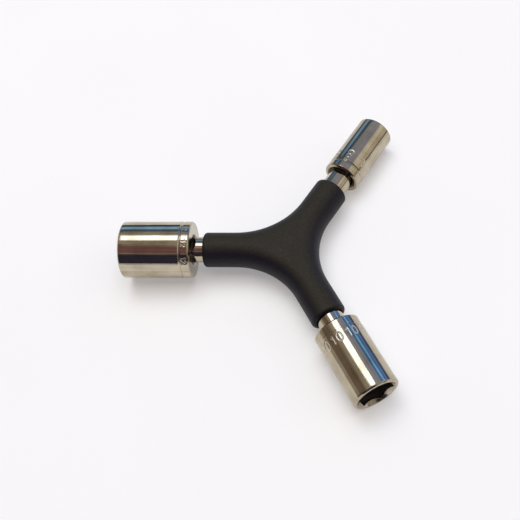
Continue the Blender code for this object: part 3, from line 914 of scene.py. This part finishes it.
class GripSettings(bpy.types.PropertyGroup):
    """Sizes of the moulded Y grip."""

    arm_radius: length_of("Arm radius", "Radius of each round arm", 5.4)
    bore_radius: length_of("Bore radius", "Radius of the bore round each shank", 4.2)
    crotch_radius: length_of("Crotch radius", "Radius of the outline between two arms", 22.5)
    end_round: length_of("End round", "Radius of the round at each arm's end", 1.0)
    crown: length_of("Crown", "How far the hub swells over the arms' tops", 0.13)
    wall_columns: count_of("Wall columns", "Points over each arm's half circle", 49, 9)
    arc_rows: count_of("Arc rows", "Points along each crotch's arc", 49, 9)
    lid_rows: count_of("Lid rows", "Points from each arc to the hub's middle", 25, 5)


class FinishSettings(bpy.types.PropertyGroup):
    """Colours and textures of the finishes."""

    chrome_colour: colour_of("Chrome", "Colour of the chromium plate", "#ACA28D")
    chrome_roughness: share_of("Chrome roughness", "Least roughness of the plate", 0.07)
    satin_roughness: share_of("Satin roughness", "How much rougher holes and strokes are", 0.32)
    # Painted highlight: the paler colour painted on the stamped strokes.
    stroke_highlight_colour: colour_of("Frosted", "Colour of the plate in the stamped strokes", "#E0D9C6")
    # Partly painted shade: the darker grey painted deep inside the sockets' holes, over their thin
    # plate.
    nickel_and_shade_colour: colour_of("Nickel", "Colour of the dull nickel inside the sockets", "#8C8583")
    buffing_depth: length_of("Buffing depth", "Depth of the buffing waves under the plate", 0.02)
    grip_colour: colour_of("Grip", "Colour of the moulded polymer", "#1B181F")
    # Painted light from above: the colour painted on what faces up of the grip.
    grip_lit_top_colour: colour_of("Grip film", "Colour of the polymer where dust lies", "#2C281F")
    grip_roughness: share_of("Grip roughness", "Middle roughness of the moulded polymer", 0.5)
    grain_depth: length_of("Grain depth", "Depth of the polymer's moulded grain", 0.012)
    steel_colour: colour_of("Steel", "Colour of the plain steel pieces", "#C4C3C1")


class StudioSettings(bpy.types.PropertyGroup):
    """Light, floor and camera of the studio."""

    floor_colour: colour_of("Floor", "Colour of the pale floor", "#FDFCFB")
    floor_glow: share_of("Floor glow", "Share of the floor that shows its colour unshaded", 0.28)
    floor_reach: length_of("Floor reach", "Distance from the middle to the floor's edge", 3000.0)
    key_direction: several_of(
        "Key direction", "Where the soft lamp hangs, seen from the wrench",
        (-0.173, 0.315, 0.933), subtype="DIRECTION",
    )
    key_distance: length_of("Key distance", "Distance of the soft lamp", 1200.0)
    key_size: several_of(
        "Key size", "Width and depth of the soft lamp", (0.45, 0.4), size=2, unit="LENGTH",
    )
    key_power: FloatProperty(
        name="Key power", description="Power of the soft lamp", default=1.85, unit="POWER",
    )
    key_colour: colour_of("Key colour", "Colour of the soft lamp", "#E6EEFF")
    fill_power: FloatProperty(
        name="Fill power", description="Power of the lamp that lights the matt surfaces",
        default=29.5, unit="POWER",
    )
    surroundings: FloatProperty(
        name="Surroundings", description="Strength of the studio's surroundings",
        default=1.8, min=0.0,
    )
    camera_place: several_of(
        "Camera place", "Where the camera stands",
        (0.04081, -0.123002, 0.211708), subtype="TRANSLATION", unit="LENGTH",
    )
    camera_turn: several_of(
        "Camera turn", "How the camera is turned",
        (math.radians(30.659), math.radians(8.689), math.radians(4.0)), subtype="EULER",
    )
    lens: FloatProperty(
        name="Lens", description="Focal length in millimetres on a sensor 36 mm wide",
        default=54.0, min=1.0,
    )


class WRENCH_OT_grip(bpy.types.Operator):
    """Build the moulded Y grip"""

    bl_idname = "wrench.grip"
    bl_label = "Grip"

    def execute(self, context):
        settings = context.scene.wrench_grip
        material = finish_named("moulded_black_polymer", context)
        piece = build_piece("moulded_grip", grip_patches(settings), material, SHARP["grip"])
        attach(piece, "wrench")
        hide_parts("grip")
        return {"FINISHED"}


class WRENCH_OT_sockets(bpy.types.Operator):
    """Build the three plated sockets with their stamped sizes"""

    bl_idname = "wrench.sockets"
    bl_label = "Sockets"

    def execute(self, context):
        settings = context.scene.wrench_sockets
        if settings.columns % 24:
            raise RuntimeError("the sockets need a number of columns that 24 divides")
        material = finish_named("chrome_plate_on_buffed_steel", context)
        for size, arm in ARMS.items():
            patches = [(socket_surface(arm, settings), True, True)]
            piece = build_piece("plated_socket_" + size, patches, material, SHARP["socket"])
            mark_satin_and_painted_light(piece, arm, mark_arm_places(piece, arm), settings)
            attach(piece, "socket_" + size)
            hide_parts("socket_" + size)
        return {"FINISHED"}


class WRENCH_OT_shanks(bpy.types.Operator):
    """Build the three plated shanks with their square tangs"""

    bl_idname = "wrench.shanks"
    bl_label = "Shanks"

    def execute(self, context):
        settings = context.scene.wrench_shanks
        material = finish_named("chrome_plate_on_buffed_steel", context)
        for size, arm in ARMS.items():
            patches = [(shank_surface(arm, settings), False, True)]
            piece = build_piece("plated_shank_" + size, patches, material, SHARP["shank"])
            mark_arm_places(piece, arm)
            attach(piece, "wrench")
            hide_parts("shank_" + size)
        return {"FINISHED"}


class WRENCH_OT_detents(bpy.types.Operator):
    """Build the detent balls and their springs"""

    bl_idname = "wrench.detents"
    bl_label = "Detents"

    def execute(self, context):
        settings = context.scene.wrench_shanks
        lapped = finish_named("lapped_bearing_steel", context)
        drawn = finish_named("drawn_spring_wire", context)
        for size, arm in ARMS.items():
            patches = [(ball_surface(arm, settings), False, True)]
            ball = build_piece("lapped_ball_" + size, patches, lapped, SHARP["detent"])
            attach(ball, "ball_" + size)
            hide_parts("detent_ball_" + size)
            patches = [(spring_surface(arm, settings), False, True)]
            spring = build_piece("wire_spring_" + size, patches, drawn, SHARP["detent"])
            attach(spring, "wrench")
            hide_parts("detent_spring_" + size)
        return {"FINISHED"}


class WRENCH_OT_weld(bpy.types.Operator):
    """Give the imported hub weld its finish"""

    bl_idname = "wrench.weld"
    bl_label = "Hub weld"

    def execute(self, context):
        weld = frame["nodes"]["hub_weld"]
        material = finish_named("arc_weld_metal", context)
        for slot in weld.material_slots:
            slot.material = material
        if not weld.material_slots:
            weld.data.materials.append(material)
        return {"FINISHED"}


def build_floor(studio):
    """A flat sheet as a grid: each side runs evenly from minus to plus the reach."""
    side = np.linspace(-studio.floor_reach, studio.floor_reach, 9)
    x, y = np.meshgrid(side, side, indexing="ij")
    points = np.stack([x, y, np.zeros_like(x)], -1).reshape(-1, 3)
    mesh = bpy.data.meshes.new("studio_floor")
    mesh.from_pydata(points, [], grid_faces(9, 9, False, False)[:, ::-1])
    material = bpy.data.materials.new("matt_pale_floor")
    material.use_nodes = True
    tree = material.node_tree
    shader = tree.nodes["Principled BSDF"]
    # Fibres of the board: cloudy patches about 60 mm across, hardly darker than the rest.
    place = add(tree, "TexCoord", "Object")
    cloud = add(tree, "TexNoise", Vector=place, Scale=1 / (60 * MM), Detail=3.0)
    base = np.array(studio.floor_colour)
    colour = add(tree, "ValToRGB", Fac=cloud, stops=((0.3, base * 0.985), (0.7, base)))
    feed(shader, {"Base_Color": colour, "Roughness": 0.9, "Specular_IOR_Level": 0.1})

    # Seen directly or mirrored, part of the floor is its plain colour, so it stays pale.
    rays = add(tree, "LightPath", "Is Camera Ray").node.outputs
    seen = rays["Is Camera Ray"]
    for kind in ("Is Glossy Ray", "Is Transmission Ray"):
        seen = add(tree, "Math", Value=seen, Value_001=rays[kind], operation="MAXIMUM")
    glow = add(tree, "Math", Value=seen, Value_001=studio.floor_glow, operation="MULTIPLY")
    plain = add(tree, "Emission", Color=colour)
    both = add(tree, "MixShader", Fac=glow, Shader=shader.outputs["BSDF"], Shader_001=plain)
    feed(tree.nodes["Material Output"], {"Surface": both})
    mesh.materials.append(material)
    floor = shown("studio_floor", mesh)


def build_surroundings(studio):
    """The studio's walls and ceiling, and what stands round them, as soft light.

    A thing's share at a direction is a smooth step of the heading's cosine, times one that
    rises from its foot and one that falls towards its top.
    """
    world = bpy.data.worlds.new("studio_surroundings")
    world.use_nodes = True
    bpy.context.scene.world = world
    tree = world.node_tree
    tree.nodes.clear()
    direction = add(tree, "TexCoord", "Generated")
    parts = add(tree, "SeparateXYZ", "Z", Vector=direction).node.outputs
    rise = add(tree, "Math", Value=parts["Z"], operation="ARCSINE")
    level = add(tree, "CombineXYZ", X=parts["X"], Y=parts["Y"])
    heading = add(tree, "VectorMath", "Vector", Vector=level, operation="NORMALIZE")
    colour = add(tree, "ValToRGB", Fac=rise, stops=(
        (math.radians(10), linear(WALLS)), (math.radians(50), linear(CEILING)),
    ))
    for label, middle, width, foot, top, fade, paint in SURROUNDINGS:
        angle = math.radians(middle)
        towards = (math.cos(angle), math.sin(angle), 0.0)
        facing = add(tree, "VectorMath", "Value", Vector=heading, Vector_001=towards,
                     operation="DOT_PRODUCT", label=label)
        steps = (
            (facing, math.cos(math.radians(width + 2 * fade)), math.cos(math.radians(width))),
            (rise, math.radians(foot - fade / 2), math.radians(foot + fade / 2)),
            (rise, math.radians(top + fade / 2), math.radians(top - fade / 2)),
        )
        across, above, below = (
            add(tree, "MapRange", Value=value, From_Min=low, From_Max=high,
                interpolation_type="SMOOTHSTEP")
            for value, low, high in steps
        )
        part = add(tree, "Math", Value=across, Value_001=above, operation="MULTIPLY")
        part = add(tree, "Math", Value=part, Value_001=below, operation="MULTIPLY")
        colour = add(tree, "Mix", "Result", Factor=part, A=colour, B=linear(paint), data_type="RGBA")
    light = add(tree, "Background", Color=colour, Strength=studio.surroundings)
    feed(tree.nodes.new("ShaderNodeOutputWorld"), {"Surface": light})


def hang_lamp(name, direction, distance, size, power, colour):
    """One soft oblong lamp, whose face points at the hub."""
    lamp = bpy.data.lights.new(name, "AREA")
    lamp.shape = "RECTANGLE"
    lamp.size, lamp.size_y = size
    lamp.energy = power
    lamp.color = colour
    away = np.array(direction)
    away /= np.linalg.norm(away)
    across = np.array([1.0, 0.0, 0.0]) - away[0] * away
    across /= np.linalg.norm(across)
    place = ARMS["12"].hub + away * distance
    turned = np.eye(4)
    turned[:3] = np.stack([across, np.cross(away, across), away, place], -1)
    holder = shown(name, lamp)
    holder.matrix_world = Matrix(turned.tolist())
    holder.visible_camera = False
    return holder


def set_camera(studio):
    """The camera at the photograph's viewing angle."""
    data = bpy.data.cameras.new("studio_camera")
    data.sensor_width = 36.0
    data.lens = studio.lens
    data.clip_start = 10 * MM
    camera = shown("studio_camera", data)
    camera.location = studio.camera_place
    camera.rotation_euler = Euler(studio.camera_turn, "XYZ")
    bpy.context.scene.camera = camera


class WRENCH_OT_stage(bpy.types.Operator):
    """Set the floor, the light and the camera"""

    bl_idname = "wrench.stage"
    bl_label = "Stage"

    def execute(self, context):
        studio = context.scene.wrench_studio
        build_floor(studio)
        build_surroundings(studio)
        hang_lamp("soft_key_lamp", studio.key_direction, studio.key_distance,
                  studio.key_size, studio.key_power, studio.key_colour)
        # The fill lights matt surfaces to their written colours. It isn't mirrored, because
        # the plate shows only the key lamp and the room.
        fill = hang_lamp("soft_fill_lamp", FILL_DIRECTION, FILL_DISTANCE,
                         FILL_SIZE, studio.fill_power, (1.0, 1.0, 1.0))
        fill.visible_glossy = False
        set_camera(studio)
        context.scene.view_settings.view_transform = "Standard"
        return {"FINISHED"}


class WRENCH_PT_panel(bpy.types.Panel):
    """Lists the wrench's pieces and the stage"""

    bl_idname = "WRENCH_PT_panel"
    bl_label = "Y Wrench"
    bl_space_type = "VIEW_3D"
    bl_region_type = "UI"
    bl_category = "Y Wrench"

    def draw(self, context):
        for operator in OPERATORS:
            self.layout.operator(operator.bl_idname)
        for name, group in SETTINGS.items():
            box = self.layout.box()
            for setting in group.__annotations__:
                box.prop(getattr(context.scene, name), setting)


SETTINGS = {
    "wrench_grip": GripSettings,
    "wrench_sockets": SocketSettings,
    "wrench_shanks": ShankSettings,
    "wrench_finishes": FinishSettings,
    "wrench_studio": StudioSettings,
}
OPERATORS = (
    WRENCH_OT_grip,
    WRENCH_OT_shanks,
    WRENCH_OT_detents,
    WRENCH_OT_weld,
    WRENCH_OT_sockets,
    WRENCH_OT_stage,
)


def register():
    for group in SETTINGS.values():
        bpy.utils.register_class(group)
    for operator in OPERATORS:
        bpy.utils.register_class(operator)
    bpy.utils.register_class(WRENCH_PT_panel)
    for name, group in SETTINGS.items():
        setattr(bpy.types.Scene, name, PointerProperty(type=group))


def unregister():
    for name in SETTINGS:
        delattr(bpy.types.Scene, name)
    bpy.utils.unregister_class(WRENCH_PT_panel)
    for operator in reversed(OPERATORS):
        bpy.utils.unregister_class(operator)
    for group in SETTINGS.values():
        bpy.utils.unregister_class(group)


def main():
    register()
    bpy.ops.wrench.grip()
    bpy.ops.wrench.shanks()
    bpy.ops.wrench.detents()
    bpy.ops.wrench.weld()
    bpy.ops.wrench.sockets()
    bpy.ops.wrench.stage()


if __name__ == "__main__":
    main()
